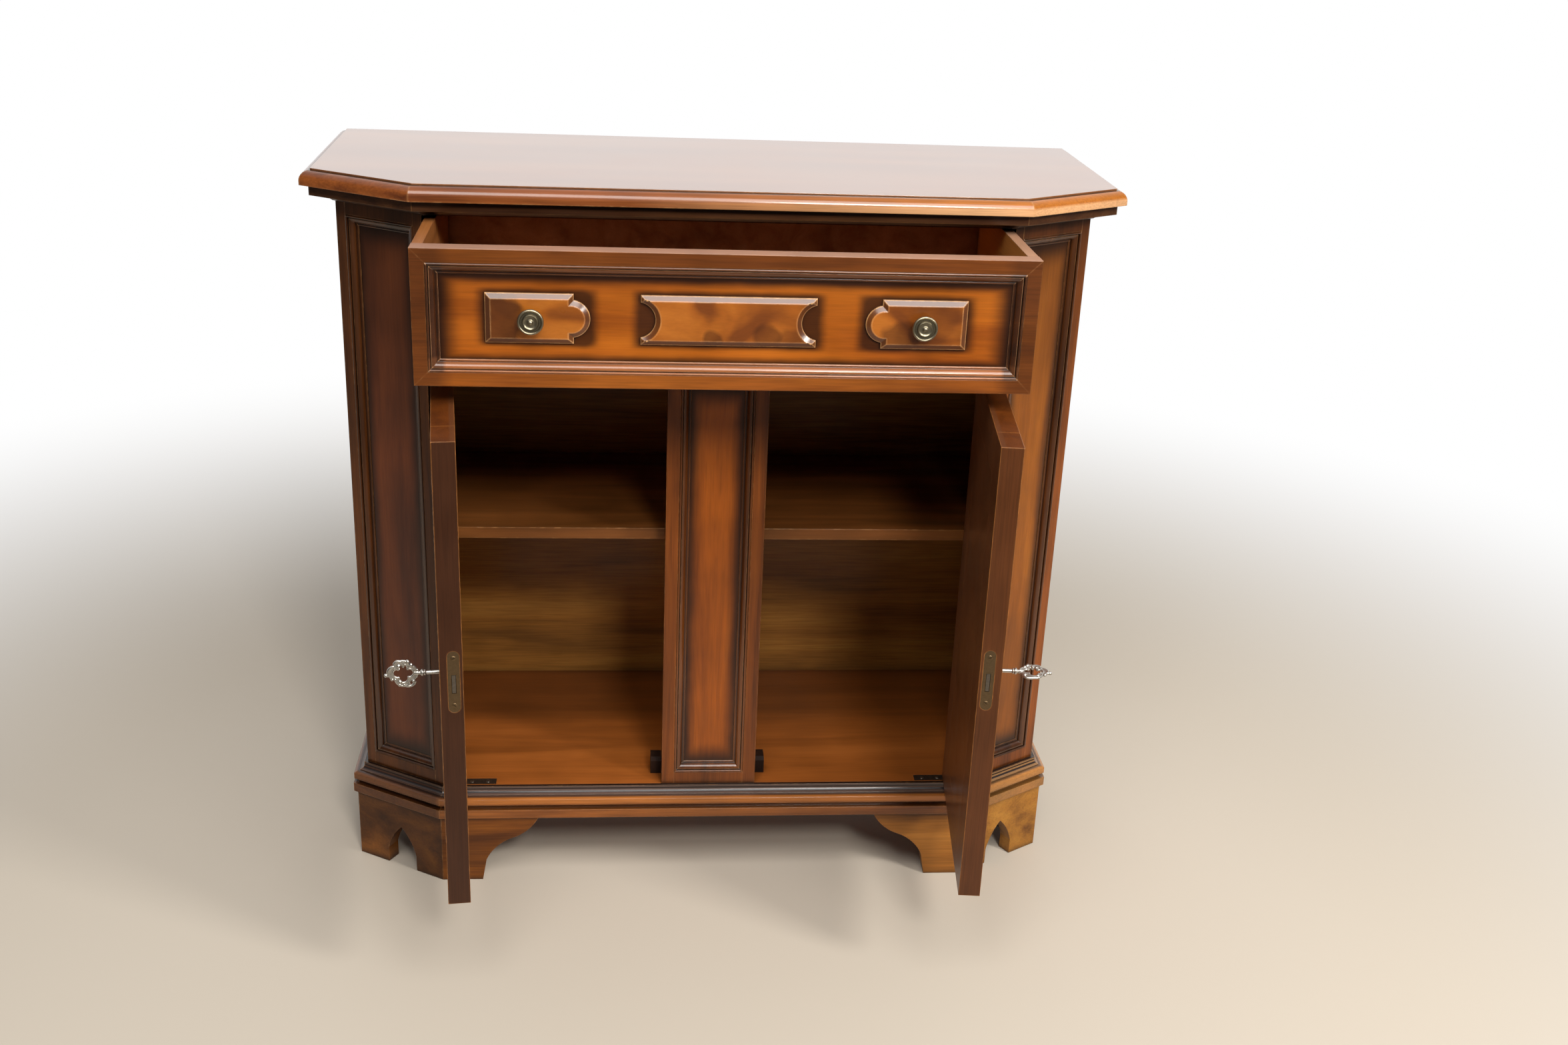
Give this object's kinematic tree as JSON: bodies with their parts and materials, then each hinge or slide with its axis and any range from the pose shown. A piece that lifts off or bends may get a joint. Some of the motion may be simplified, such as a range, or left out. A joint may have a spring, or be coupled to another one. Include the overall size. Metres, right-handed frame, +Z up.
{
  "type": "console cabinet",
  "caption": "Console cabinet with canted corners, moulded top and plinth, bracket feet, a drawer with raised plaques, and a pair of locking doors beside a panelled post.",
  "frame": {"origin": "on the floor, under the middle of the cabinet's bounding box with doors and drawer open as at rest", "axes": "+X to the right along the front as seen by a person in front, +Y to the back, +Z up"},
  "size_m": [0.8956, 0.5497, 0.85],
  "materials": {
    "stained_mahogany": "satin varnish",
    "figured_veneer": "satin varnish",
    "burr_veneer": "satin varnish",
    "inside_wood": "matt stain",
    "plain_wood": "bare wood",
    "dark_wood": "matt stain",
    "aged_brass": "dulled brass",
    "hinge_metal": "dull steel",
    "key_metal": "nickel plate"
  },
  "bodies": {
    "carcass": {"back_panel": "inside_wood", "base_frame": "plain_wood", "bed_moulding": "stained_mahogany", "carcass_hinge_plates": "hinge_metal", "centre_post_frame": "stained_mahogany", "centre_post_moulding": "stained_mahogany", "centre_post_panel": "figured_veneer", "door_stops": "dark_wood", "drawer_deck": "stained_mahogany", "drawer_guides": "inside_wood", "drawer_kickers": "inside_wood", "floor_board": "inside_wood", "foot_blocks": "plain_wood", "left_corner_foot": "stained_mahogany", "left_corner_frame": "stained_mahogany", "left_corner_moulding": "stained_mahogany", "left_corner_panel": "figured_veneer", "left_front_foot": "stained_mahogany", "left_side_board": "stained_mahogany", "plinth_moulding": "stained_mahogany", "right_corner_foot": "stained_mahogany", "right_corner_frame": "stained_mahogany", "right_corner_moulding": "stained_mahogany", "right_corner_panel": "figured_veneer", "right_front_foot": "stained_mahogany", "right_side_board": "stained_mahogany", "shelf": "inside_wood", "shelf_pins": "hinge_metal", "side_feet": "stained_mahogany", "strike_plates": "aged_brass", "top_edge_moulding": "stained_mahogany", "top_panel": "stained_mahogany", "top_rail": "stained_mahogany"},
    "drawer": {"drawer_back": "plain_wood", "drawer_bottom": "inside_wood", "drawer_centre_plaque": "burr_veneer", "drawer_front_frame": "stained_mahogany", "drawer_front_moulding": "stained_mahogany", "drawer_front_panel": "figured_veneer", "drawer_knobs": "aged_brass", "drawer_left_plaque": "burr_veneer", "drawer_left_side": "plain_wood", "drawer_right_plaque": "burr_veneer", "drawer_right_side": "plain_wood"},
    "left_door": {"left_door_frame": "stained_mahogany", "left_door_hinge_leaves": "hinge_metal", "left_door_moulding": "stained_mahogany", "left_door_panel": "figured_veneer", "left_lock_case": "aged_brass"},
    "left_key": {"left_key": "key_metal"},
    "left_lock_bolt": {"left_lock_bolt": "aged_brass"},
    "right_door": {"right_door_frame": "stained_mahogany", "right_door_hinge_leaves": "hinge_metal", "right_door_moulding": "stained_mahogany", "right_door_panel": "figured_veneer", "right_lock_case": "aged_brass"},
    "right_key": {"right_key": "key_metal"},
    "right_lock_bolt": {"right_lock_bolt": "aged_brass"}
  },
  "joints": [
    {"name": "drawer_slide", "type": "slide", "parent": "carcass", "child": "drawer", "axis": [0, -1, 0], "range_m": [-0.142, 0.058]},
    {"name": "left_door_hinge", "type": "hinge", "parent": "carcass", "child": "left_door", "pos_m": [-0.3097, -0.024, 0.127], "axis": [0, 0, -1], "range_deg": [-84, 21]},
    {"name": "left_key_turn", "type": "hinge", "parent": "left_door", "child": "left_key", "pos_m": [-0.28998, -0.24988, 0.392], "axis": [-0.9945, -0.1045, 0], "range_deg": [0, 180]},
    {"name": "left_bolt_slide", "type": "slide", "parent": "left_door", "child": "left_lock_bolt", "axis": [0.1045, -0.9945, 0], "range_m": [0, 0.0075]},
    {"name": "right_door_hinge", "type": "hinge", "parent": "carcass", "child": "right_door", "pos_m": [0.3097, -0.024, 0.127], "axis": [0, 0, 1], "range_deg": [-84, 21]},
    {"name": "right_key_turn", "type": "hinge", "parent": "right_door", "child": "right_key", "pos_m": [0.28998, -0.24988, 0.392], "axis": [0.9945, -0.1045, 0], "range_deg": [0, 180]},
    {"name": "right_bolt_slide", "type": "slide", "parent": "right_door", "child": "right_lock_bolt", "axis": [-0.1045, -0.9945, 0], "range_m": [0, 0.0075]}
  ],
  "couplings": [
    {"joint": "left_bolt_slide", "follows": "left_key_turn", "m_per_rad": 0.0023873},
    {"joint": "right_bolt_slide", "follows": "right_key_turn", "m_per_rad": 0.0023873}
  ]
}
